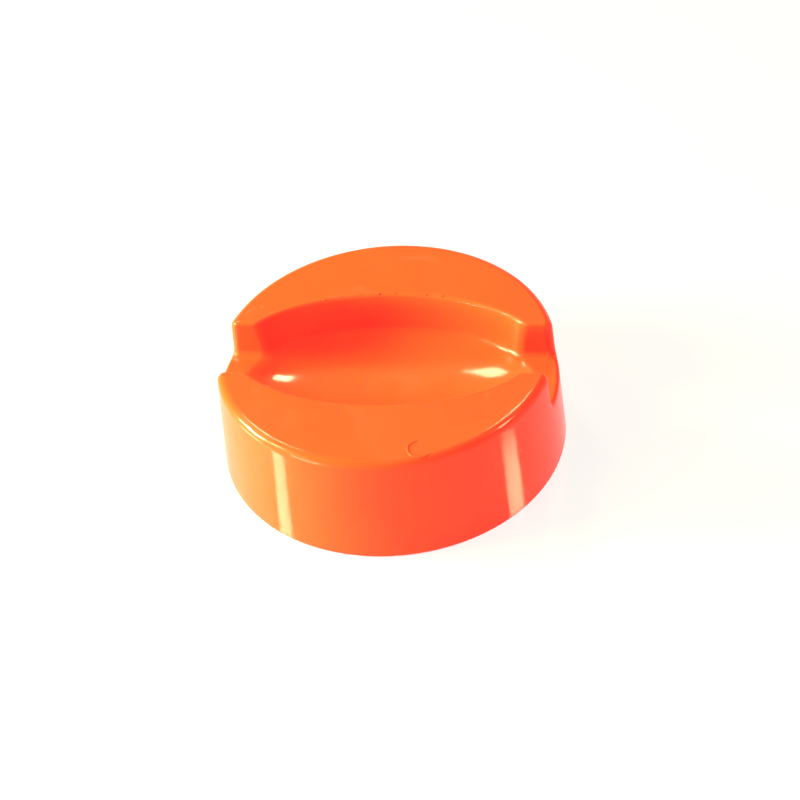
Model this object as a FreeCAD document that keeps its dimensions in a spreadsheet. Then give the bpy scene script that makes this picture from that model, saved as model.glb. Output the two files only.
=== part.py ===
"""Ice-fishing rod rest: the weighted puck of a tip up, as a parametric assembly.

A drafted round shell of glossy plastic has a rod channel across its top and a lens-shaped well in the
middle. A round cover closes it from below, and carries two steel ballast plates and four rubber feet.

Millimetres. +Z is up, +X runs along the rod channel and +Y points to the rear. The origin is under the
middle of the puck, on the plane that the feet stand on.
"""
import FreeCAD, Part
import os
import Sketcher

doc = FreeCAD.newDocument("rod_rest_puck")

# ---------------------------------------------------------------- driving dimensions

DIMENSIONS = (
    # alias, value, what it is
    ("base_diameter", 100, "outside of the shell at its lower rim"),
    ("shell_height", 33.5, "lower rim of the shell to its flat top"),
    ("wall_draft", 3.2, "degrees that the outside wall leans in"),
    ("skin", 3, "wall thickness of the shell"),
    ("top_edge_round", 2.2, "round between the outside wall and the flat top"),
    ("lower_edge_round", 0.6, "round along the lower rim"),
    ("channel_width", 20.5, "rod channel, wall to wall"),
    ("channel_depth", 12.2, "rod channel, flat top to channel floor"),
    ("well_length", 85.4, "long axis of the well's ellipse, which the channel cuts short"),
    ("well_width", 47.2, "short axis of the well's ellipse"),
    ("well_depth", 16.6, "flat top to the well's floor"),
    ("well_draft", 6, "degrees that the well's wall leans in"),
    ("well_blend", 9, "round between the well's wall and its floor"),
    ("inner_edge_round", 1, "round along the edges of the channel and the well"),
    ("gate_mark_radius", 3.1, "raised gate witness on the front flat top"),
    ("gate_mark_ridge", 0.36, "width of the witness's ridge"),
    ("gate_mark_reach", 42.6, "witness centre from the middle of the puck"),
    ("gate_mark_bearing", 18.5, "degrees from straight ahead to the witness, towards +X"),
    ("gate_mark_gap", 129, "degrees of the witness's ring that are missing"),
    ("gate_mark_turn", 33, "degrees from +X to the middle of that gap"),
    ("foot_proud", 0.5, "feet below the lower rim of the shell"),
    ("cover_recess", 0.3, "cover inside the lower rim of the shell"),
    ("cover_thickness", 3.5, "plate of the base cover"),
    ("cover_diameter", 92.6, "outside of the base cover"),
    ("cover_clearance", 0.2, "all round, between cover and shell"),
    ("cover_seat_height", 6, "straight bore in the skirt that takes the cover"),
    ("seal_section", 1.4, "thickness of the squeezed sealing ring"),
    ("boss_diameter", 9, "screw bosses under the flat tops"),
    ("boss_side", 20, "boss centres to the middle plane across the channel"),
    ("boss_reach", 32.4, "boss centres to the middle plane along the channel"),
    ("rib_thickness", 1.6, "ribs that tie the bosses to the walls"),
    ("insert_diameter", 5, "threaded insert"),
    ("insert_length", 6, "threaded insert"),
    ("screw_diameter", 3, "thread of the cover screws"),
    ("screw_length", 8, "cover screw under its head"),
    ("screw_head_diameter", 5.6, "cover screw"),
    ("screw_head_height", 2, "cover screw"),
    ("screw_socket_width", 2, "across the flats of the hexagon socket"),
    ("ballast_diameter", 84, "outside of the two half-moon plates"),
    ("ballast_thickness", 6, "steel plate"),
    ("ballast_gap", 2, "between the two plates"),
    ("ballast_notch", 10.4, "clearance round a boss"),
    ("pad_length", 48, "foam pad over a ballast plate"),
    ("pad_width", 12, "foam pad over a ballast plate"),
    ("pad_offset", 11, "pad centre to the middle plane along the channel"),
    ("foot_diameter", 14, "rubber foot"),
    ("foot_thickness", 1.8, "rubber foot"),
    ("foot_circle_radius", 35, "feet from the middle of the puck"),
    ("foot_groove_depth", 0.4, "ring groove in the sole of a foot"),
)

sheet = doc.addObject("Spreadsheet::Sheet", "dimensions")
for row, (alias, value, meaning) in enumerate(DIMENSIONS, start=1):
    sheet.set("A%d" % row, alias)
    sheet.set("B%d" % row, str(value))
    sheet.set("C%d" % row, meaning)
    sheet.setAlias("B%d" % row, alias)
doc.recompute()


def size(formula):
    """A formula in the sheet's aliases, written so that any object of the document can read it."""
    words = sorted((alias for alias, _, _ in DIMENSIONS), key=len, reverse=True)
    for number, word in enumerate(words):
        formula = formula.replace(word, "<%d>" % number)
    for number, word in enumerate(words):
        formula = formula.replace("<%d>" % number, "dimensions.%s" % word)
    return formula


# Heights above the plane that the feet stand on, and radii, worked out from the driving dimensions.
RIM = "foot_proud"
TOP = "(foot_proud + shell_height)"
BASE_RADIUS = "(base_diameter / 2)"
TOP_RADIUS = "(base_diameter / 2 - shell_height * tan(wall_draft * 1deg))"
CAVITY_RADIUS = "(base_diameter / 2 - skin - cover_seat_height * tan(wall_draft * 1deg))"
SEAT_RADIUS = "(cover_diameter / 2 + cover_clearance)"
WELL_UNDERSIDE = "(foot_proud + shell_height - well_depth - skin)"
CHANNEL_UNDERSIDE = "(foot_proud + shell_height - channel_depth - skin)"
COVER_FOOT = "(foot_proud + cover_recess)"
COVER_TOP = "(foot_proud + cover_recess + cover_thickness)"
HEAD_SEAT = "(foot_proud + cover_recess + screw_head_height + 0.2)"
BALLAST_TOP = "(foot_proud + cover_recess + cover_thickness + ballast_thickness)"

ALL_FOUR = (("front_left", -1, -1), ("front_right", 1, -1), ("rear_left", -1, 1), ("rear_right", 1, 1))


# ---------------------------------------------------------------- drawing aids

def bind(thing, name, formula):
    thing.setExpression(name, size(formula))


def value_of(formula):
    return float(sheet.evalExpression(size(formula)))


def new_body(label, across="0", along="0"):
    """A body whose own origin stands at formulas from the middle of the puck."""
    body = doc.addObject("PartDesign::Body", label)
    body.Label = label
    bind(body, "Placement.Base.x", across)
    bind(body, "Placement.Base.y", along)
    return body


def new_sketch(body, name, plane="XY_Plane", height=None):
    """A sketch on one of the body's own origin planes, lifted by a formula."""
    drawing = body.newObject("Sketcher::SketchObject", name)
    support = [item for item in body.Origin.OriginFeatures if item.Role == plane][0]
    drawing.AttachmentSupport = (support, [""])
    drawing.MapMode = "FlatFace"
    if height:
        bind(drawing, ".AttachmentOffset.Base.z", height)
    return drawing


def hold(drawing, kind, *ends, formula=None):
    """One constraint; with a formula, it is a dimension that follows the sheet."""
    if formula is None:
        drawing.addConstraint(Sketcher.Constraint(kind, *ends))
        return
    number = drawing.addConstraint(Sketcher.Constraint(kind, *ends, value_of(formula)))
    bind(drawing, "Constraints[%d]" % number, formula)


def draw_circle(drawing, radius, across="0", along="0"):
    """A circle whose centre stands at formulas from the sketch's origin, neither of them negative."""
    place = FreeCAD.Vector(value_of(across), value_of(along), 0)
    number = drawing.addGeometry(Part.Circle(place, FreeCAD.Vector(0, 0, 1), value_of(radius)))
    hold(drawing, "Radius", number, formula=radius)
    hold_point(drawing, number, 3, across, along)
    return number


def hold_point(drawing, geometry, end, across, along):
    """Pins a point at formulas from the origin, or onto an axis where a formula is 0."""
    if across == "0" and along == "0":
        hold(drawing, "Coincident", geometry, end, -1, 1)
        return
    if across == "0":
        hold(drawing, "PointOnObject", geometry, end, -2)
    else:
        hold(drawing, "DistanceX", -1, 1, geometry, end, formula=across)
    if along == "0":
        hold(drawing, "PointOnObject", geometry, end, -1)
    else:
        hold(drawing, "DistanceY", -1, 1, geometry, end, formula=along)


def draw_four_circles(drawing, radius, across, along):
    """The same circle in all four quarters, mirrored about both axes."""
    first = draw_circle(drawing, radius, across, along)
    for _, side, end in ALL_FOUR[:3]:
        place = FreeCAD.Vector(side * value_of(across), end * value_of(along), 0)
        other = drawing.addGeometry(Part.Circle(place, FreeCAD.Vector(0, 0, 1), value_of(radius)))
        hold(drawing, "Equal", first, other)
        if side * end == 1:
            hold(drawing, "Symmetric", first, 3, other, 3, -1, 1)
        else:
            hold(drawing, "Symmetric", first, 3, other, 3, -2 if side < 0 else -1)


def draw_rectangle(drawing, length, width, across="0", along="0"):
    """A rectangle about a point that stands at formulas from the sketch's origin."""
    half_x, half_y = value_of(length) / 2, value_of(width) / 2
    x, y = value_of(across), value_of(along)
    corners = [FreeCAD.Vector(x + i * half_x, y + j * half_y, 0) for i, j in
               ((-1, -1), (1, -1), (1, 1), (-1, 1))]
    first = drawing.GeometryCount
    for i in range(4):
        drawing.addGeometry(Part.LineSegment(corners[i], corners[(i + 1) % 4]))
    for i in range(4):
        hold(drawing, "Coincident", first + i, 2, first + (i + 1) % 4, 1)
        hold(drawing, "Horizontal" if i % 2 == 0 else "Vertical", first + i)
    hold(drawing, "DistanceX", first, 1, first, 2, formula=length)
    hold(drawing, "DistanceY", first + 1, 1, first + 1, 2, formula=width)
    middle = drawing.addGeometry(Part.Point(FreeCAD.Vector(x, y, 0)), True)
    hold(drawing, "Symmetric", first, 1, first + 2, 1, middle, 1)
    hold_point(drawing, middle, 1, across, along)


def draw_hexagon(drawing, radius):
    """A regular hexagon about the origin, with a corner on the sketch's X axis."""
    reach = value_of(radius)
    circle = drawing.addGeometry(Part.Circle(FreeCAD.Vector(), FreeCAD.Vector(0, 0, 1), reach), True)
    hold(drawing, "Coincident", circle, 3, -1, 1)
    hold(drawing, "Radius", circle, formula=radius)
    first = drawing.GeometryCount
    corners = [FreeCAD.Rotation(FreeCAD.Vector(0, 0, 1), 60 * i).multVec(FreeCAD.Vector(reach, 0, 0))
               for i in range(6)]
    for i in range(6):
        drawing.addGeometry(Part.LineSegment(corners[i], corners[(i + 1) % 6]))
    for i in range(6):
        hold(drawing, "Coincident", first + i, 2, first + (i + 1) % 6, 1)
        hold(drawing, "PointOnObject", first + i, 1, circle)
        if i:
            hold(drawing, "Equal", first, first + i)
    hold(drawing, "PointOnObject", first, 1, -1)


def draw_half_disc(drawing, radius, offset):
    """The part of a disc about the origin that lies further than an offset along the sketch's Y axis."""
    reach, chord = value_of(radius), value_of(offset)
    half = (reach ** 2 - chord ** 2) ** 0.5
    ends = FreeCAD.Vector(half, chord, 0), FreeCAD.Vector(-half, chord, 0)
    arc = drawing.addGeometry(Part.Arc(ends[0], FreeCAD.Vector(0, reach, 0), ends[1]))
    line = drawing.addGeometry(Part.LineSegment(ends[1], ends[0]))
    hold(drawing, "Coincident", arc, 3, -1, 1)
    hold(drawing, "Radius", arc, formula=radius)
    hold(drawing, "Coincident", arc, 2, line, 1)
    hold(drawing, "Coincident", line, 2, arc, 1)
    hold(drawing, "Horizontal", line)
    hold(drawing, "DistanceY", -1, 1, line, 1, formula=offset)


def draw_ellipse(drawing, long_radius, short_radius):
    """An ellipse about the origin with its long axis on the sketch's X axis."""
    major, minor = value_of(long_radius), value_of(short_radius)
    shape = Part.Ellipse(FreeCAD.Vector(major, 0, 0), FreeCAD.Vector(0, minor, 0), FreeCAD.Vector(0, 0, 0))
    number = drawing.addGeometry(shape)
    hold(drawing, "Coincident", number, 3, -1, 1)
    for end, reach, kind in ((FreeCAD.Vector(major, 0, 0), long_radius, "EllipseMajorDiameter"),
                             (FreeCAD.Vector(0, minor, 0), short_radius, "EllipseMinorDiameter")):
        axis = drawing.addGeometry(Part.LineSegment(-end, end), True)
        hold(drawing, "InternalAlignment:" + kind, axis, number)
        if kind == "EllipseMajorDiameter":
            hold(drawing, "Horizontal", axis)
        hold(drawing, "Distance", axis, formula="2 * (%s)" % reach)


def draw_outline(drawing, points):
    """A closed outline of straight lines through points given as pairs of formulas."""
    spots = [FreeCAD.Vector(value_of(a), value_of(b), 0) for a, b in points]
    first = drawing.GeometryCount
    count = len(spots)
    for i in range(count):
        drawing.addGeometry(Part.LineSegment(spots[i], spots[(i + 1) % count]))
    for i in range(count):
        hold(drawing, "Coincident", first + i, 2, first + (i + 1) % count, 1)
        hold_point(drawing, first + i, 1, *points[i])


def turn(body, drawing, name="form"):
    """A full turn of a profile about the body's upright axis."""
    feature = body.newObject("PartDesign::Revolution", name)
    feature.Profile = drawing
    feature.ReferenceAxis = (drawing, ["V_Axis"])
    feature.Angle = 360
    doc.recompute()
    return feature


def pad(body, drawing, length, name):
    """Adds the drawing upwards by a formula."""
    feature = body.newObject("PartDesign::Pad", name)
    feature.Profile = drawing
    bind(feature, "Length", length)
    doc.recompute()
    return feature


def pocket(body, drawing, length, name, up=False, draft=None):
    """Cuts the drawing away, downwards unless up, and checks that something went."""
    before = body.Shape.Volume
    feature = body.newObject("PartDesign::Pocket", name)
    feature.Profile = drawing
    feature.Reversed = up
    bind(feature, "Length", length)
    if draft:
        bind(feature, "TaperAngle", draft)
    doc.recompute()
    if body.Shape.Volume > before - 0.01:
        raise RuntimeError("%s of %s cuts nothing" % (name, body.Label))
    return feature


def mirror(body, feature, drawing, name, axis="V_Axis"):
    """Repeats a feature on the other side of an axis of its sketch."""
    copy = body.newObject("PartDesign::Mirrored", name)
    copy.Originals = [feature]
    copy.MirrorPlane = (drawing, [axis])
    body.Tip = copy
    doc.recompute()


def round_edges(body, radius, name, chosen):
    """Rounds the edges of the body for which chosen is true of seven points spread along the edge."""
    base = body.Tip
    edges = enumerate(base.Shape.Edges, start=1)
    names = ["Edge%d" % number for number, edge in edges if chosen(edge.discretize(7))]
    if not names:
        raise RuntimeError("%s of %s finds no edge" % (name, body.Label))
    feature = body.newObject("PartDesign::Fillet", name)
    feature.Base = (base, names)
    bind(feature, "Radius", radius)
    doc.recompute()
    return feature


def level(points, height):
    """True where all the points lie at one height."""
    return all(abs(point.z - height) < 0.01 for point in points)


# ---------------------------------------------------------------- the shell

def make_top_shell():
    """The moulded shell: two flat crescents, the rod channel between them and the well in the middle."""
    body = new_body("top_shell")
    top, rim = value_of(TOP), value_of(RIM)
    well_floor, channel_floor = top - value_of("well_depth"), top - value_of("channel_depth")
    channel_wall = value_of("channel_width") / 2
    half_length, half_width = value_of("well_length") / 2, value_of("well_width") / 2

    def well_foot(points):
        """The edge between the well's leaning wall and its floor."""
        inside = all((point.x / half_length) ** 2 + (point.y / half_width) ** 2 < 1 for point in points)
        return inside and level(points, well_floor)

    profile = new_sketch(body, "shell_profile", "XZ_Plane")
    draw_outline(profile, (("0", RIM), (BASE_RADIUS, RIM), (TOP_RADIUS, TOP), ("0", TOP)))
    turn(body, profile)
    round_edges(body, "top_edge_round", "top_edge", lambda points: level(points, top))
    round_edges(body, "lower_edge_round", "lower_edge", lambda points: level(points, rim))

    # Hollow from below, then the walls that will surround the well and the channel.
    cavity = new_sketch(body, "cavity_outline", height=RIM)
    draw_circle(cavity, CAVITY_RADIUS)
    pocket(body, cavity, "shell_height - skin", "cavity", up=True, draft="-wall_draft")
    seat = new_sketch(body, "cover_seat_outline", height=RIM)
    draw_circle(seat, SEAT_RADIUS)
    pocket(body, seat, "cover_seat_height", "cover_seat", up=True)
    well_block = new_sketch(body, "well_block_outline", height=WELL_UNDERSIDE)
    draw_ellipse(well_block, "well_length / 2", "well_width / 2 + skin / 2")
    pad(body, well_block, "well_depth + skin / 2", "well_block")
    channel_block = new_sketch(body, "channel_block_outline", height=CHANNEL_UNDERSIDE)
    draw_rectangle(channel_block, "2 * %s - 1" % CAVITY_RADIUS, "channel_width + 2 * skin")
    pad(body, channel_block, "channel_depth + skin / 2", "channel_block")

    # Screw bosses hang from the flat tops, and ribs tie them to the walls.
    bosses = new_sketch(body, "boss_outline", height=COVER_TOP)
    draw_four_circles(bosses, "boss_diameter / 2", "boss_side", "boss_reach")
    pad(body, bosses, "%s - skin / 2 - %s" % (TOP, COVER_TOP), "bosses")
    ribs = new_sketch(body, "rib_outline", height="%s + skin" % WELL_UNDERSIDE)
    draw_rectangle(ribs, "rib_thickness", "2 * %s - 3 * skin" % CAVITY_RADIUS, across="boss_side")
    mirror(body, pad(body, ribs, "well_depth - skin / 2", "ribs_right"), ribs, "ribs_left")
    inserts = new_sketch(body, "insert_hole_outline", height=COVER_TOP)
    draw_four_circles(inserts, "insert_diameter / 2", "boss_side", "boss_reach")
    pocket(body, inserts, "insert_length + 1", "insert_holes", up=True)

    # The well and then the channel are cut from the top.
    well = new_sketch(body, "well_outline", height=TOP)
    draw_ellipse(well, "well_length / 2", "well_width / 2")
    pocket(body, well, "well_depth", "well", draft="-well_draft")
    round_edges(body, "well_blend", "well_floor_blend", well_foot)
    channel = new_sketch(body, "channel_outline", height=TOP)
    draw_rectangle(channel, "base_diameter + 2", "channel_width")
    pocket(body, channel, "channel_depth", "rod_channel")

    def cut_edge(points):
        """The well's rim, the channel floor's edges, and the upright edges of the channel walls."""
        inside = max(point.x ** 2 + point.y ** 2 for point in points) < value_of(CAVITY_RADIUS) ** 2
        in_walls = all(abs(abs(point.y) - channel_wall) < 0.02 for point in (points[0], points[-1]))
        upright = max(point.z for point in points) - min(point.z for point in points) > value_of("skin")
        within_channel = all(abs(point.y) < channel_wall + 0.02 for point in points)
        return (level(points, top) and inside or level(points, channel_floor) and within_channel
                or upright and in_walls and min(point.z for point in points) > channel_floor - 0.02)

    round_edges(body, "inner_edge_round", "cut_edges", cut_edge)
    add_gate_mark(body)
    return body


def add_gate_mark(body):
    """A raised open ring on the front flat top, where the plastic entered the mould."""
    ring = body.newObject("PartDesign::AdditiveTorus", "gate_mark")
    support = [item for item in body.Origin.OriginFeatures if item.Role == "XY_Plane"][0]
    ring.AttachmentSupport = (support, [""])
    ring.MapMode = "FlatFace"
    bind(ring, "Radius1", "gate_mark_radius")
    bind(ring, "Radius2", "gate_mark_ridge / 2")
    bind(ring, "Angle3", "360 - gate_mark_gap")
    start = value_of("gate_mark_turn + gate_mark_gap / 2")
    ring.AttachmentOffset = FreeCAD.Placement(
        FreeCAD.Vector(), FreeCAD.Rotation(FreeCAD.Vector(0, 0, 1), start))
    bind(ring, ".AttachmentOffset.Base.x", "gate_mark_reach * sin(gate_mark_bearing * 1deg)")
    bind(ring, ".AttachmentOffset.Base.y", "-gate_mark_reach * cos(gate_mark_bearing * 1deg)")
    bind(ring, ".AttachmentOffset.Base.z", TOP)
    doc.recompute()


# ---------------------------------------------------------------- the base

def make_base_cover():
    """The round plate that closes the shell, with a seal groove, foot recesses and screw holes."""
    body = new_body("base_cover")
    radius, groove = "(cover_diameter / 2)", "(cover_diameter / 2 + cover_clearance - seal_section)"
    middle = "(%s + cover_thickness / 2)" % COVER_FOOT
    groove_foot = "%s - seal_section / 2 - 0.1" % middle
    groove_top = "%s + seal_section / 2 + 0.1" % middle
    profile = new_sketch(body, "cover_profile", "XZ_Plane")
    draw_outline(profile, (
        ("0", COVER_FOOT), (radius, COVER_FOOT), (radius, groove_foot), (groove, groove_foot),
        (groove, groove_top), (radius, groove_top), (radius, COVER_TOP), ("0", COVER_TOP)))
    turn(body, profile)

    recess = "foot_thickness - %s" % COVER_FOOT
    for name, across, along in (("side", "foot_circle_radius", "0"), ("end", "0", "foot_circle_radius")):
        outline = new_sketch(body, "foot_recess_%s_outline" % name, height=COVER_FOOT)
        draw_circle(outline, "foot_diameter / 2 + 0.1", across, along)
        cut = pocket(body, outline, recess, "foot_recess_%s" % name, up=True)
        mirror(body, cut, outline, "foot_recess_%s_mirrored" % name, "V_Axis" if across != "0" else "H_Axis")
    heads = new_sketch(body, "screw_head_outline", height=COVER_FOOT)
    draw_four_circles(heads, "screw_head_diameter / 2 + 0.3", "boss_side", "boss_reach")
    pocket(body, heads, "%s - %s" % (HEAD_SEAT, COVER_FOOT), "screw_head_recesses", up=True)
    holes = new_sketch(body, "screw_hole_outline", height=COVER_FOOT)
    draw_four_circles(holes, "screw_diameter / 2 + 0.2", "boss_side", "boss_reach")
    pocket(body, holes, "cover_thickness", "screw_holes", up=True)
    return body


def make_base_seal():
    """The rubber ring in the cover's groove, at its squeezed thickness."""
    ring = doc.addObject("Part::Torus", "base_seal")
    ring.Label = "base_seal"
    bind(ring, "Radius1", "%s - seal_section / 2" % SEAT_RADIUS)
    bind(ring, "Radius2", "seal_section / 2")
    bind(ring, "Placement.Base.z", "%s + cover_thickness / 2" % COVER_FOOT)
    doc.recompute()
    return ring


def make_cover_screw(corner, side, end):
    """A socket-head screw, driven from below."""
    body = new_body("cover_screw_" + corner, "%d * boss_side" % side, "%d * boss_reach" % end)
    head_foot = "(%s - screw_head_height)" % HEAD_SEAT
    head, shank = "screw_head_diameter / 2", "screw_diameter / 2 - 0.05"
    tip = "(%s + screw_length)" % HEAD_SEAT
    profile = new_sketch(body, "screw_profile", "XZ_Plane")
    draw_outline(profile, (
        ("0", head_foot), ("%s - 0.3" % head, head_foot), (head, "%s + 0.3" % head_foot), (head, HEAD_SEAT),
        (shank, HEAD_SEAT), (shank, "%s - 0.4" % tip), ("%s - 0.4" % shank, tip), ("0", tip)))
    turn(body, profile)
    socket = new_sketch(body, "socket_outline", height=head_foot)
    draw_hexagon(socket, "screw_socket_width / 2 / cos(30deg)")
    pocket(body, socket, "screw_head_height * 0.7", "socket", up=True)
    return body


def make_screw_insert(corner, side, end):
    """A brass insert, waisted so that the plastic of the boss holds it."""
    body = new_body("screw_insert_" + corner, "%d * boss_side" % side, "%d * boss_reach" % end)
    bore, outer, waist = "screw_diameter / 2", "insert_diameter / 2", "insert_diameter / 2 - 0.35"

    def at(share):
        return "%s + insert_length * %g" % (COVER_TOP, share)

    profile = new_sketch(body, "insert_profile", "XZ_Plane")
    draw_outline(profile, (
        (bore, at(0)), (outer, at(0)), (outer, at(0.35)), (waist, at(0.42)), (waist, at(0.58)),
        (outer, at(0.65)), (outer, at(1)), (bore, at(1))))
    turn(body, profile)
    return body


def make_ballast(name, turned):
    """A half-moon steel plate on the cover, notched round the bosses, which keep it in place."""
    body = new_body("ballast_" + name)
    body.Placement.Rotation = FreeCAD.Rotation(FreeCAD.Vector(0, 0, 1), turned)
    outline = new_sketch(body, "plate_outline", height=COVER_TOP)
    draw_half_disc(outline, "ballast_diameter / 2", "ballast_gap / 2")
    pad(body, outline, "ballast_thickness", "plate")
    notch = new_sketch(body, "notch_outline", height=COVER_TOP)
    draw_circle(notch, "ballast_notch / 2", "boss_side", "boss_reach")
    cut = pocket(body, notch, "ballast_thickness", "notch_right", up=True)
    mirror(body, cut, notch, "notch_left")
    return body


def make_ballast_pad(name, turned):
    """Foam squeezed between a ballast plate and the underside of the well."""
    body = new_body("ballast_pad_" + name)
    body.Placement.Rotation = FreeCAD.Rotation(FreeCAD.Vector(0, 0, 1), turned)
    outline = new_sketch(body, "pad_outline", height=BALLAST_TOP)
    draw_rectangle(outline, "pad_length", "pad_width", along="pad_offset")
    pad(body, outline, "%s - %s" % (WELL_UNDERSIDE, BALLAST_TOP), "foam")
    return body


def make_grip_foot(name, side, end):
    """A rubber foot in its recess, with a ring groove in its sole."""
    body = new_body("grip_foot_" + name, "%d * foot_circle_radius" % side, "%d * foot_circle_radius" % end)
    radius = "foot_diameter / 2"
    profile = new_sketch(body, "foot_profile", "XZ_Plane")
    draw_outline(profile, (
        ("0", "0"), ("foot_diameter * 0.2", "0"), ("foot_diameter * 0.23", "foot_groove_depth"),
        ("foot_diameter * 0.3", "foot_groove_depth"), ("foot_diameter * 0.33", "0"),
        ("%s - 0.4" % radius, "0"), (radius, "0.4"), (radius, "foot_thickness"), ("0", "foot_thickness")))
    turn(body, profile)
    return body


# ---------------------------------------------------------------- the assembly

pieces = [make_top_shell(), make_base_cover(), make_base_seal()]
for corner, side, end in ALL_FOUR:
    pieces.append(make_cover_screw(corner, side, end))
    pieces.append(make_screw_insert(corner, side, end))
for name, turned in (("rear", 0), ("front", 180)):
    pieces.append(make_ballast(name, turned))
    pieces.append(make_ballast_pad(name, turned))
for name, side, end in (("left", -1, 0), ("right", 1, 0), ("front", 0, -1), ("rear", 0, 1)):
    pieces.append(make_grip_foot(name, side, end))
doc.recompute()

for item in doc.Objects:
    if "Invalid" in item.State or "Error" in item.State:
        raise RuntimeError("%s has failed: %s" % (item.Label, item.State))
for piece in pieces:
    if piece.Shape.isNull() or not piece.Shape.isValid() or len(piece.Shape.Solids) != 1:
        raise RuntimeError("%s is not one valid solid" % piece.Label)

os.makedirs("parts", exist_ok=True)
for piece in pieces:
    piece.Shape.exportStep("parts/%s.step" % piece.Label)
    print("%-26s %9.1f mm3" % (piece.Label, piece.Shape.Volume))
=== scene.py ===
"""Looks of the rod rest puck: glossy orange plastic over a weighted, screwed base.

Lengths in the shell's own sums are millimetres, as in the CAD model; everything given to Blender is metres.
"""
import math

import bpy
import numpy as np
from mathutils import Matrix, Vector


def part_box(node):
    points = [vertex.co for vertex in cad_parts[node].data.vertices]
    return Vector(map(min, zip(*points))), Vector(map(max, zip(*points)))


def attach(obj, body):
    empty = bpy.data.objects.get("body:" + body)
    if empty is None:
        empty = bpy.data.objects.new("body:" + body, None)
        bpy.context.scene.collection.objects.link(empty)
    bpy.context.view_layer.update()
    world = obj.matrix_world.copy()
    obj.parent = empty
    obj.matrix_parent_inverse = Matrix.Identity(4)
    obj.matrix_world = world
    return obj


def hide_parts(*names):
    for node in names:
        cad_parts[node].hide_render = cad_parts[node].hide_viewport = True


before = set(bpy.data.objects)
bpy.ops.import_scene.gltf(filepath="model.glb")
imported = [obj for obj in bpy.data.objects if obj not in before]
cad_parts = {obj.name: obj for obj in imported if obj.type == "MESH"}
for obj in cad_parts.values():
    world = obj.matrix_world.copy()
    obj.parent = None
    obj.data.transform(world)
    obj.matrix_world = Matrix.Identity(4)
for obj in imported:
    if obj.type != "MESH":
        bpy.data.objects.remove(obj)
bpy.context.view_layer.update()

MM = 0.001
CORNERS = ("front_left", "front_right", "rear_left", "rear_right")
ENDS = ("front", "rear")
FEET = ("left", "right", "front", "rear")

# ---------------------------------------------------------------- the shell's shape

shell_low, shell_high = (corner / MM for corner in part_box("top_shell"))
cover_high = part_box("base_cover")[1] / MM

RIM = shell_low.z
SHELL_HEIGHT = 33.5
TOP = RIM + SHELL_HEIGHT
BASE_RADIUS = 50.0
WALL_SLOPE = math.tan(math.radians(3.2))
SKIN = 3.0
TOP_EDGE_ROUND = 2.2
LOWER_EDGE_ROUND = 0.6
EDGE_ROUND = 1.0
LIP_ROUND = 1.2
INNER_ROUND = 0.5
CHANNEL_HALF = 10.25
CHANNEL_FLOOR = TOP - 12.2
CHANNEL_CORNER_ROUND = 2.2
MOUTH_FLARE = 2.6
WELL_LONG, WELL_SHORT = 42.7, 23.6
WELL_SLOPE = math.tan(math.radians(6))
WELL_WALL_DEPTH = 10.4
BOWL_INSET = WELL_WALL_DEPTH * WELL_SLOPE
BOWL_LONG, BOWL_SHORT = WELL_LONG - BOWL_INSET, WELL_SHORT - BOWL_INSET
BOWL_MIDDLE = TOP - WELL_WALL_DEPTH
BOWL_DEPTH = 7.2
BOWL_SKIN = 2.0
WELL_UNDERSIDE = BOWL_MIDDLE - BOWL_DEPTH - BOWL_SKIN
SEAT_RADIUS = cover_high.x + 0.2
SEAT_DEPTH = 6.0
SEAT_TOP = RIM + SEAT_DEPTH
CAVITY_RADIUS = BASE_RADIUS - SKIN - SEAT_DEPTH * WALL_SLOPE
BOSS_SIDE, BOSS_REACH, BOSS_RADIUS = 20.0, 32.4, 4.5
RIB_HALF = 0.8
INSERT_RADIUS, INSERT_TOP = 2.5, cover_high.z + 7.0
GATE_REACH, GATE_BEARING = 43.8, math.radians(18.5)


def meet(first, second, radius):
    """Signed distance to what two solids share, with a round of that radius on the edge between them."""
    corner = np.hypot(np.maximum(first + radius, 0), np.maximum(second + radius, 0))
    return np.minimum(np.maximum(first, second), -radius) + corner


def join(first, second, radius):
    """Signed distance to two solids together, with a fillet of that radius between them."""
    return -meet(-first, -second, radius)


def ellipse_distance(x, y, long_radius, short_radius):
    """Signed distance in plan to an ellipse, by stepping the nearest point along its curve."""
    x, y = np.abs(x), np.abs(y)
    bulge = long_radius ** 2 - short_radius ** 2
    along = np.full(np.shape(x), math.sqrt(0.5))
    across = along.copy()
    for _ in range(4):
        centre_x = bulge * along ** 3 / long_radius
        centre_y = -bulge * across ** 3 / short_radius
        reach = np.hypot(long_radius * along - centre_x, short_radius * across - centre_y)
        away = np.maximum(np.hypot(x - centre_x, y - centre_y), 1e-9)
        along = np.clip(((x - centre_x) * reach / away + centre_x) / long_radius, 0, 1)
        across = np.clip(((y - centre_y) * reach / away + centre_y) / short_radius, 0, 1)
        length = np.maximum(np.hypot(along, across), 1e-9)
        along, across = along / length, across / length
    gap = np.hypot(x - long_radius * along, y - short_radius * across)
    return np.where((x / long_radius) ** 2 + (y / short_radius) ** 2 < 1, -gap, gap)


def ellipsoid_distance(x, y, z, long_radius, short_radius, height):
    """Signed distance to an ellipsoid, true close to its surface."""
    near = np.sqrt((x / long_radius) ** 2 + (y / short_radius) ** 2 + (z / height) ** 2)
    steep = np.sqrt((x / long_radius ** 2) ** 2 + (y / short_radius ** 2) ** 2 + (z / height ** 2) ** 2)
    return near * (near - 1) / np.maximum(steep, 1e-6)


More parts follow.
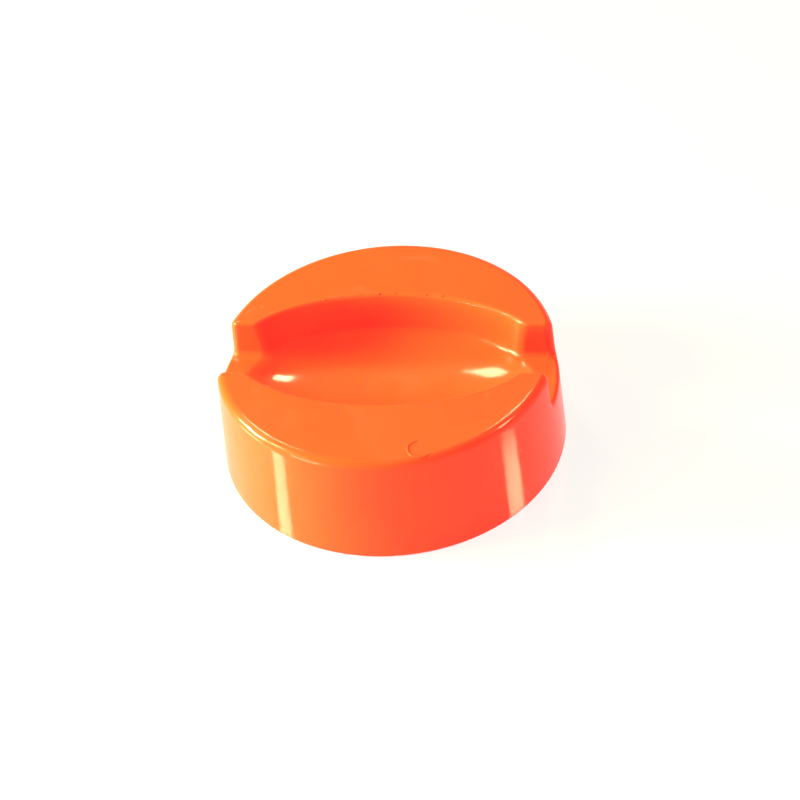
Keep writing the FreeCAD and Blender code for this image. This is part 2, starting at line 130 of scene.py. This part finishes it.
def shell_field(x, y, z):
    """Signed distance to the shell's plastic, negative inside it."""
    radius = np.hypot(x, y)
    rise = z - RIM
    wall = (radius - BASE_RADIUS + rise * WALL_SLOPE) * math.cos(math.atan(WALL_SLOPE))
    body = meet(meet(wall, z - TOP, TOP_EDGE_ROUND), RIM - z, LOWER_EDGE_ROUND)

    flare = np.maximum(MOUTH_FLARE + wall, 0) ** 2 / (2 * MOUTH_FLARE)
    channel = meet(np.abs(y) - CHANNEL_HALF - flare, CHANNEL_FLOOR - z, CHANNEL_CORNER_ROUND)
    well_wall = ellipse_distance(x, y, WELL_LONG, WELL_SHORT) + (TOP - z) * WELL_SLOPE
    bowl = ellipsoid_distance(x, y, z - BOWL_MIDDLE, BOWL_LONG, BOWL_SHORT, BOWL_DEPTH)
    well = np.minimum(np.maximum(well_wall, BOWL_MIDDLE - z), bowl)
    body = meet(body, -join(well, channel, LIP_ROUND), EDGE_ROUND)

    # Below, the cavity stays clear of the well, the channel, the screw bosses and the ribs.
    hollow = meet(radius - CAVITY_RADIUS + rise * WALL_SLOPE, z - TOP + SKIN, INNER_ROUND)
    well_outside = ellipse_distance(x, y, WELL_LONG, WELL_SHORT + SKIN / 2)
    under_well = meet(well_outside, WELL_UNDERSIDE - z, INNER_ROUND)
    under_channel = meet(np.abs(y) - CHANNEL_HALF - SKIN, CHANNEL_FLOOR - SKIN - z, INNER_ROUND)
    across, along = np.abs(x) - BOSS_SIDE, np.abs(y) - BOSS_REACH
    boss = meet(np.hypot(across, along) - BOSS_RADIUS, cover_high.z - z, INNER_ROUND / 2)
    rib = meet(np.abs(across) - RIB_HALF, WELL_UNDERSIDE + SKIN - z, INNER_ROUND)
    kept = join(join(under_well, under_channel, INNER_ROUND), join(boss, rib, INNER_ROUND), INNER_ROUND)
    hollow = meet(hollow, -kept, INNER_ROUND)
    insert = meet(np.hypot(across, along) - INSERT_RADIUS, z - INSERT_TOP, INNER_ROUND / 2)
    seat = meet(radius - SEAT_RADIUS, z - SEAT_TOP, INNER_ROUND / 2)
    cut = join(hollow, meet(seat, -boss, INNER_ROUND / 2), INNER_ROUND / 2)
    body = meet(body, -cut, INNER_ROUND / 2)
    return meet(body, -insert, INNER_ROUND / 2)


# ---------------------------------------------------------------- from a signed distance to a mesh

def slope_of(field, points):
    """The field and its gradient at points, from values a hundredth of a millimetre to each side."""
    step = 0.01
    x, y, z = points.T
    gradient = np.stack([
        field(x + step, y, z) - field(x - step, y, z),
        field(x, y + step, z) - field(x, y - step, z),
        field(x, y, z + step) - field(x, y, z - step)], axis=1) / (2 * step)
    return field(x, y, z), gradient


def settle(field, points, rounds):
    """Moves points onto the surface of the field; a least steepness keeps each step short."""
    least_steepness = 0.05
    for _ in range(rounds):
        value, gradient = slope_of(field, points)
        steepness = np.maximum((gradient ** 2).sum(1), least_steepness)
        points = points - gradient * (value / steepness)[:, None]
    return points


def net_cells(inside):
    """Numbers the grid cells that the surface crosses: -1 elsewhere."""
    corners = [inside[i:inside.shape[0] - 1 + i, j:inside.shape[1] - 1 + j, k:inside.shape[2] - 1 + k]
               for i in (0, 1) for j in (0, 1) for k in (0, 1)]
    total = np.sum(corners, axis=0)
    crossed = (total > 0) & (total < 8)
    number = np.full(crossed.shape, -1, int)
    number[crossed] = np.arange(crossed.sum())
    return number, crossed


def net_faces(inside, number):
    """One quad round each grid edge that the surface cuts, wound to face outwards."""
    faces = []
    for axis in range(3):
        turned = np.moveaxis(inside, axis, 0)
        cells = np.moveaxis(number, axis, 0)
        here, there = turned[:-1, 1:-1, 1:-1], turned[1:, 1:-1, 1:-1]
        around = [cells[:, :-1, :-1], cells[:, 1:, :-1], cells[:, 1:, 1:], cells[:, :-1, 1:]]
        quads = np.stack(around, axis=-1)
        flip = axis == 1
        for leaving in (True, False):
            chosen = (here & ~there) if leaving else (~here & there)
            picked = quads[chosen]
            faces.append(picked if leaving != flip else picked[:, ::-1])
    return np.concatenate(faces)


def mesh_from_field(name, field, low, high, cell):
    """A quad mesh of the field's surface, evenly spread, with the field's own normals."""
    margin, relaxings = 1.5 * cell, 8
    axes = [np.arange(low[i] - margin, high[i] + margin + cell, cell) for i in range(3)]
    grid = np.meshgrid(*axes, indexing="ij", sparse=True)
    inside = field(*grid) < 0
    number, crossed = net_cells(inside)
    faces = net_faces(inside, number)
    points = np.argwhere(crossed) * cell + [axis[0] + cell / 2 for axis in axes]
    points = settle(field, points, 5)
    pairs = np.concatenate([faces[:, [i, (i + 1) % 4]] for i in range(4)])
    pairs = np.unique(np.sort(pairs, axis=1), axis=0)
    count = np.bincount(pairs.ravel(), minlength=len(points))
    for _ in range(relaxings):
        total = np.zeros_like(points)
        for a, b in ((0, 1), (1, 0)):
            for i in range(3):
                total[:, i] += np.bincount(pairs[:, a], points[pairs[:, b], i], len(points))
        points = settle(field, 0.5 * (points + total / count[:, None]), 1)
    points = settle(field, points, 3)
    normals = slope_of(field, points)[1]
    normals /= np.linalg.norm(normals, axis=1)[:, None]
    mesh = bpy.data.meshes.new(name)
    mesh.from_pydata((points * MM).tolist(), [], faces.tolist())
    mesh.polygons.foreach_set("use_smooth", [True] * len(mesh.polygons))
    mesh.normals_split_custom_set_from_vertices(normals.tolist())
    mesh.validate()
    return mesh


def capped_mesh(name, points, faces):
    """A mesh with smooth sides and flat end caps, which are the faces of more than four points."""
    mesh = bpy.data.meshes.new(name)
    mesh.from_pydata(points, [], faces)
    for face in mesh.polygons:
        face.use_smooth = len(face.vertices) <= 4
    return mesh


def band(first, count):
    """Quads from a ring of points, numbered from first, to the ring that follows it."""
    following = [(i + 1) % count for i in range(count)]
    return [(first + i, first + k, first + count + k, first + count + i) for i, k in enumerate(following)]


def new_object(name, data):
    """An object in the scene around a mesh, lamp or camera."""
    made = bpy.data.objects.new(name, data)
    bpy.context.scene.collection.objects.link(made)
    return made


def add_piece(name, mesh, material, slot, *nodes):
    """A new piece, in place of CAD nodes if any are given, riding with the puck."""
    piece = new_object(name, mesh)
    piece.data.materials.append(material)
    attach(piece, "root")
    if nodes:
        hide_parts(*nodes)
    return piece


# ---------------------------------------------------------------- materials

class Recipe:
    """A Principled material under construction, with short names for the nodes that it uses."""

    def __init__(self, name):
        self.material = bpy.data.materials.new(name)
        self.material.use_nodes = True
        self.tree = self.material.node_tree
        self.shader = self.tree.nodes["Principled BSDF"]
        self.place = self.add("ShaderNodeTexCoord").outputs["Object"]

    def add(self, kind, inputs=(), **settings):
        node = self.tree.nodes.new(kind)
        for key, value in settings.items():
            setattr(node, key, value)
        for socket, value in dict(inputs).items():
            self.put(node.inputs[socket], value)
        return node

    def put(self, socket, value):
        if isinstance(value, bpy.types.NodeSocket):
            self.tree.links.new(value, socket)
        else:
            socket.default_value = value

    def set(self, **values):
        for name, value in values.items():
            self.put(self.shader.inputs[name.replace("_", " ")], value)

    def noise(self, scale, detail=3.0, stretch=(1, 1, 1), distortion=0.0):
        """Noise between 0 and 1; scale counts features per metre."""
        place = self.add("ShaderNodeMapping", {"Vector": self.place, "Scale": stretch}).outputs["Vector"]
        return self.add("ShaderNodeTexNoise", {
            "Vector": place, "Scale": scale, "Detail": detail, "Distortion": distortion}).outputs["Fac"]

    def span(self, value, low, high, start=0.0, stop=1.0):
        """value from low..high mapped to start..stop and held there."""
        limits = {"From Min": low, "From Max": high, "To Min": start, "To Max": stop}
        return self.add("ShaderNodeMapRange", {"Value": value, **limits}).outputs["Result"]

    def blend(self, share, first, second):
        node = self.add("ShaderNodeMix", data_type="RGBA")
        self.put(node.inputs["Factor"], share)
        self.put(node.inputs[6], first)
        self.put(node.inputs[7], second)
        return node.outputs[2]

    def bump(self, height, strength, distance, normal=None):
        inputs = {"Height": height, "Strength": strength, "Distance": distance}
        if normal is not None:
            inputs["Normal"] = normal
        return self.add("ShaderNodeBump", inputs).outputs["Normal"]

    def lines(self, scale, stretch, turn):
        """Fine scratches: the thin bands where stretched noise passes its middle."""
        middle, half_width = 0.5, 0.006
        mapping = {"Vector": self.place, "Rotation": (0, 0, turn), "Scale": stretch}
        place = self.add("ShaderNodeMapping", mapping).outputs["Vector"]
        noise = self.add("ShaderNodeTexNoise", {"Vector": place, "Scale": scale, "Detail": 1.0})
        offset = self.add("ShaderNodeMath", {0: noise.outputs["Fac"], 1: middle}, operation="SUBTRACT")
        size = self.add("ShaderNodeMath", {0: offset.outputs[0]}, operation="ABSOLUTE")
        return self.span(size.outputs[0], 0.0, half_width, 1.0, 0.0)


def shell_plastic():
    """Glossy moulded ABS: faint flow clouds under a clear gloss, with soft waves, grain and handling scuffs.

    The faint violet glow is painted light and isn't a property of the plastic: it only trims the colour of
    the reds, lifting their blue.
    """
    mix = Recipe("shell_plastic")
    clouds = mix.noise(38, detail=4, distortion=0.6)
    colour = mix.blend(mix.span(clouds, 0.3, 0.7), (0.96, 0.049, 0.0045, 1), (0.98, 0.055, 0.0055, 1))
    scuffs = mix.lines(160, (1, 7, 1), 0.5)
    patches = mix.span(mix.noise(55, detail=2), 0.45, 0.75)
    scuffed = mix.add("ShaderNodeMath", {0: scuffs, 1: patches}, operation="MULTIPLY").outputs[0]
    polish = mix.span(mix.noise(90, detail=5), 0.3, 0.7, 0.28, 0.34)
    scuff_roughness = 0.16
    terms = {0: scuffed, 1: scuff_roughness, 2: polish}
    roughness = mix.add("ShaderNodeMath", terms, operation="MULTIPLY_ADD").outputs[0]
    waves = mix.bump(mix.noise(70, detail=1), 0.12, 0.0006)
    grained = mix.bump(mix.noise(1900, detail=2), 0.12, 0.00008, waves)
    normal = mix.bump(scuffed, 0.25, 0.00008, grained)
    mix.set(Base_Color=colour, Roughness=roughness, Normal=normal, Coat_Normal=normal, IOR=1.4)
    mix.set(Specular_IOR_Level=0.04, Coat_Weight=0.55, Coat_IOR=1.3, Coat_Roughness=0.08)
    # painted light: a faint violet glow from the plastic itself, no lamp, that lifts the blue in the shaded
    # reds
    mix.set(Emission_Color=(0.1, 0.0, 1.0, 1), Emission_Strength=0.02)
    return mix.material


def cover_plastic():
    """The same orange with a fine eroded texture from the mould."""
    mix = Recipe("cover_plastic")
    grain = mix.noise(2600, detail=2)
    colour = mix.blend(mix.noise(45), (0.80, 0.062, 0.009, 1), (0.88, 0.080, 0.012, 1))
    normal = mix.bump(grain, 0.35, 0.00008)
    mix.set(Base_Color=colour, Roughness=mix.span(grain, 0.3, 0.7, 0.42, 0.58), Normal=normal, IOR=1.46)
    return mix.material


def rubber(name, shade, dust):
    """Matt black rubber with a dusty bloom and a grainy skin."""
    mix = Recipe(name)
    bloom = mix.span(mix.noise(300, detail=5), 0.45, 0.75)
    grain = mix.noise(3000, detail=2)
    colour = mix.blend(bloom, (shade, shade, shade * 1.05, 1), (dust, dust, dust * 1.02, 1))
    normal = mix.bump(grain, 0.3, 0.00006)
    mix.set(Base_Color=colour, Roughness=mix.span(bloom, 0, 1, 0.62, 0.8), Normal=normal)
    return mix.material


def foam():
    """Closed-cell foam: dark grey, with small cut cells."""
    mix = Recipe("pad_foam")
    cells = mix.add("ShaderNodeTexVoronoi", {"Vector": mix.place, "Scale": 1400.0}).outputs["Distance"]
    colour = mix.blend(mix.span(cells, 0.1, 0.6), (0.010, 0.010, 0.011, 1), (0.035, 0.035, 0.038, 1))
    mix.set(Base_Color=colour, Roughness=0.9, Normal=mix.bump(cells, 0.6, 0.0002))
    return mix.material


def metal(name, pale, dark, low, high, scale, stretch):
    """Bare metal with the drawn or turned marks that run along one axis."""
    mix = Recipe(name)
    marks = mix.noise(scale, detail=4, stretch=stretch)
    stain = mix.noise(120, detail=4)
    colour = mix.blend(mix.span(stain, 0.35, 0.7), (*pale, 1), (*dark, 1))
    roughness = mix.span(marks, 0.3, 0.7, low, high)
    mix.set(Base_Color=colour, Metallic=1.0, Roughness=roughness, Normal=mix.bump(marks, 0.2, 0.00003))
    return mix.material


def dress(node, material):
    """A CAD node keeps its shape and gets a better material."""
    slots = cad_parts[node].data.materials
    slots.clear()
    slots.append(material)


# ---------------------------------------------------------------- the pieces

def make_gate_ring(material):
    """The raised open ring that the mould's gate left on the front flat top."""
    radius, ridge, unevenness = 3.2, 0.30, 0.06
    opening, opening_middle = math.radians(129), math.radians(33)
    half_width, half_height, narrowest = ridge * 1.2, ridge * 0.8, 0.4
    taper, blunt = 8, 0.05
    rings, sides = 56, 10
    centre = Vector((GATE_REACH * math.sin(GATE_BEARING), -GATE_REACH * math.cos(GATE_BEARING), TOP))
    start = opening_middle + opening / 2
    flat_end = BASE_RADIUS - SHELL_HEIGHT * WALL_SLOPE - TOP_EDGE_ROUND
    points, faces = [], []
    for i in range(rings + 1):
        share = i / rings
        turn = start + share * (2 * math.pi - opening)
        fade = min(1.0, taper * share + blunt, taper * (1 - share) + blunt)
        width = half_width * (narrowest + (1 - narrowest) * fade)
        wobble = radius + unevenness * math.sin(5 * turn)
        outward = Vector((math.cos(turn), math.sin(turn), 0))
        for j in range(sides):
            lean = 2 * math.pi * j / sides
            reach = wobble + width * math.cos(lean)
            spot = centre + outward * reach
            sink = max(spot.xy.length - flat_end, 0) ** 2 / (2 * TOP_EDGE_ROUND)
            lift = half_height * fade * math.sin(lean) - sink
            points.append((spot + Vector((0, 0, lift))) * MM)
    for i in range(rings):
        faces.extend(band(i * sides, sides))
    faces.append(tuple(range(sides)))
    faces.append(tuple(rings * sides + j for j in reversed(range(sides))))
    add_piece("gate_ring", capped_mesh("gate_ring", points, faces), material, "shell_plastic")


def make_flash_nibs(material):
    """Specks of moulding flash along the well's rear rim and dust nibs on the front flat top: low domes."""
    clearance, sides = 0.6, 8
    profile, crown = ((-0.3, 1.0), (0.12, 0.9), (0.30, 0.55)), 0.36
    long_reach, short_reach = WELL_LONG + clearance, WELL_SHORT + clearance
    rim = ((118, 0.34), (111, 0.26), (104, 0.30), (96, 0.42), (90, 0.28), (77.5, 0.40), (71, 0.32))
    spots = [(long_reach * math.cos(math.radians(turn)), short_reach * math.sin(math.radians(turn)), size)
             for turn, size in rim]
    spots += [(23.8, -33.9, 0.22), (7.5, -27.7, 0.18), (28.3, -27.1, 0.18)]
    points, faces = [], []
    for across, along, size in spots:
        middle = Vector((across, along, TOP))
        first = len(points)
        for lift, reach in profile:
            for i in range(sides):
                lean = 2 * math.pi * i / sides
                offset = Vector((reach * math.cos(lean), reach * math.sin(lean), lift))
                points.append((middle + size * offset) * MM)
        points.append((middle + Vector((0, 0, crown * size))) * MM)
        highest = first + 2 * sides
        faces.extend(band(first, sides) + band(first + sides, sides))
        faces.extend((highest + i, highest + (i + 1) % sides, highest + sides) for i in range(sides))
        faces.append(tuple(first + i for i in reversed(range(sides))))
    add_piece("flash_nibs", capped_mesh("flash_nibs", points, faces), material, "shell_plastic")


def make_foam_pad(end, material):
    """A squeezed foam block: crowned sides that bulge out between its two flat faces."""
    node = "ballast_pad_" + end
    low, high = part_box(node)
    middle, half = (low + high) / 2, (high - low) / 2
    bulge, corner, corner_steps, layers = 0.0012, 0.003, 8, 9
    across, along = half.x - bulge - corner, half.y - bulge - corner
    outline = []
    for side, depth, first in ((1, 1, 0), (-1, 1, 90), (-1, -1, 180), (1, -1, 270)):
        for i in range(corner_steps + 1):
            turn = math.radians(first + i * 90 / corner_steps)
            bend = corner * Vector((math.cos(turn), math.sin(turn)))
            outline.append(Vector((side * across, depth * along)) + bend)
    points, faces = [], []
    count = len(outline)
    for layer in range(layers):
        share = layer / (layers - 1) * 2 - 1
        grow = bulge * (1 - share ** 2)
        for spot in outline:
            away = spot.normalized() * grow
            points.append(middle + Vector((spot.x + away.x, spot.y + away.y, share * half.z)))
    for layer in range(layers - 1):
        faces.extend(band(layer * count, count))
    faces.append(tuple(reversed(range(count))))
    faces.append(tuple((layers - 1) * count + i for i in range(count)))
    name = "foam_pad_" + end
    piece = add_piece(name, capped_mesh(name, points, faces), material, "pad_foam", node)


cell = 0.65  # millimetres
orange = shell_plastic()
shell_mesh = mesh_from_field("shell", shell_field, shell_low, shell_high, cell)
add_piece("shell", shell_mesh, orange, "shell_plastic", "top_shell")
make_gate_ring(orange)
make_flash_nibs(orange)

dress("base_cover", cover_plastic())
dress("base_seal", rubber("seal_rubber", 0.012, 0.03))
foot_material = rubber("foot_rubber", 0.018, 0.06)
for name in FEET:
    dress("grip_foot_" + name, foot_material)
steel = metal("screw_steel", (0.62, 0.61, 0.59), (0.48, 0.47, 0.45), 0.22, 0.36, 900, (1, 1, 0.1))
brass = metal("insert_brass", (0.80, 0.58, 0.26), (0.62, 0.42, 0.17), 0.2, 0.34, 900, (1, 1, 6))
plate = metal("ballast_steel", (0.52, 0.53, 0.55), (0.38, 0.39, 0.41), 0.34, 0.52, 400, (0.1, 1, 1))
for corner in CORNERS:
    dress("cover_screw_" + corner, steel)
    dress("screw_insert_" + corner, brass)
foam_material = foam()
for end in ENDS:
    dress("ballast_" + end, plate)
    make_foam_pad(end, foam_material)

# ---------------------------------------------------------------- floor, lights and camera

CAMERA_AZIMUTH = 10.575
CAMERA_ELEVATION = 41.684
CAMERA_ROLL = -6.731
CAMERA_DISTANCE = 0.6021
CAMERA_TARGET = Vector((0.00320, -0.00360, 0.01717))
CAMERA_LENS = 94.47

FLOOR_HALF = 3.0
STUDIO_STRENGTH, HORIZON_STRENGTH = 0.015, 0.85
HORIZON_END, HORIZON_FADE_END = math.radians(6), math.radians(22)

LAMP_COLOUR = (1.0, 0.93, 0.50)
LAMP_DISTANCE = 0.9
LAMP_TARGET = Vector((0, 0, 0.02))

# Name, azimuth from the camera's side and elevation in degrees, width and height in metres, watts.
LAMPS = (
    ("key", -96, 20, 0.28, 0.22, 44),
    ("high_left", -122, 46, 0.25, 0.2, 1.5),
    ("low_front_left", -54, 4, 0.30, 0.05, 9),
    ("long_strip", -80, 28, 0.70, 0.04, 4),
    ("left_strip", -82, 36, 0.12, 0.10, 6),
    ("right_strip", 76, 38, 0.15, 0.11, 6),
    ("rear_left", -159, 50, 0.13, 0.11, 3.6),
    ("rear_right", 162, 51, 0.09, 0.07, 3),
)


def ray_from_object(azimuth, elevation):
    """The direction from the puck to a point; azimuth 0 is straight in front, and grows towards +X."""
    turn, lift = math.radians(azimuth), math.radians(elevation)
    return Vector((math.sin(turn) * math.cos(lift), -math.cos(turn) * math.cos(lift), math.sin(lift)))


def add_camera():
    """The camera, aimed at the puck and rolled a little about its own axis."""
    data = bpy.data.cameras.new("camera")
    data.lens, data.sensor_width = CAMERA_LENS, 36.0
    camera = new_object("camera", data)
    back = ray_from_object(CAMERA_AZIMUTH, CAMERA_ELEVATION)
    facing = back.to_track_quat("Z", "Y").to_matrix()
    roll = Matrix.Rotation(math.radians(CAMERA_ROLL), 3, "Z")
    place = Matrix.Translation(CAMERA_TARGET + back * CAMERA_DISTANCE)
    camera.matrix_world = place @ (facing @ roll).to_4x4()
    bpy.context.scene.camera = camera


def add_softbox(name, azimuth, elevation, width, height, watts):
    """A rectangular lamp that faces the puck."""
    data = bpy.data.lights.new(name, "AREA")
    data.shape, data.size, data.size_y = "RECTANGLE", width, height
    data.energy, data.color = watts, LAMP_COLOUR
    lamp = new_object(name, data)
    direction = ray_from_object(CAMERA_AZIMUTH + azimuth, elevation)
    facing = direction.to_track_quat("Z", "Y").to_matrix().to_4x4()
    lamp.matrix_world = Matrix.Translation(LAMP_TARGET + direction * LAMP_DISTANCE) @ facing


def add_floor():
    """A pale glowing floor whose gloss mirrors the lamps onto the puck's side."""
    corners = [(-FLOOR_HALF, -FLOOR_HALF, 0), (FLOOR_HALF, -FLOOR_HALF, 0),
               (FLOOR_HALF, FLOOR_HALF, 0), (-FLOOR_HALF, FLOOR_HALF, 0)]
    mesh = bpy.data.meshes.new("floor")
    mesh.from_pydata(corners, [], [(0, 1, 2, 3)])
    floor = new_object("floor", mesh)
    mix = Recipe("white_floor")
    mix.set(Base_Color=(0.15, 0.15, 0.15, 1), Roughness=0.05)
    mix.set(Coat_Weight=1.0, Coat_IOR=2.2, Coat_Roughness=0.04)
    mix.set(Emission_Color=(1, 1, 1, 1), Emission_Strength=0.96)
    mesh.materials.append(mix.material)


def add_world():
    """A dim studio with a pale band round the horizon, which the far floor mirrors from a low angle."""
    world = bpy.data.worlds.new("studio")
    world.use_nodes = True
    tree = world.node_tree
    background = tree.nodes["Background"]
    background.inputs["Color"].default_value = (1, 1, 1, 1)
    direction = tree.nodes.new("ShaderNodeTexCoord")
    split = tree.nodes.new("ShaderNodeSeparateXYZ")
    fade = tree.nodes.new("ShaderNodeMapRange")
    fade.inputs["From Min"].default_value = math.sin(HORIZON_END)
    fade.inputs["From Max"].default_value = math.sin(HORIZON_FADE_END)
    fade.inputs["To Min"].default_value = HORIZON_STRENGTH
    fade.inputs["To Max"].default_value = STUDIO_STRENGTH
    tree.links.new(direction.outputs["Generated"], split.inputs[0])
    tree.links.new(split.outputs["Z"], fade.inputs["Value"])
    tree.links.new(fade.outputs["Result"], background.inputs["Strength"])
    bpy.context.scene.world = world


add_camera()
add_floor()
add_world()
for lamp_settings in LAMPS:
    add_softbox(*lamp_settings)
bpy.context.scene.view_settings.view_transform = "Standard"
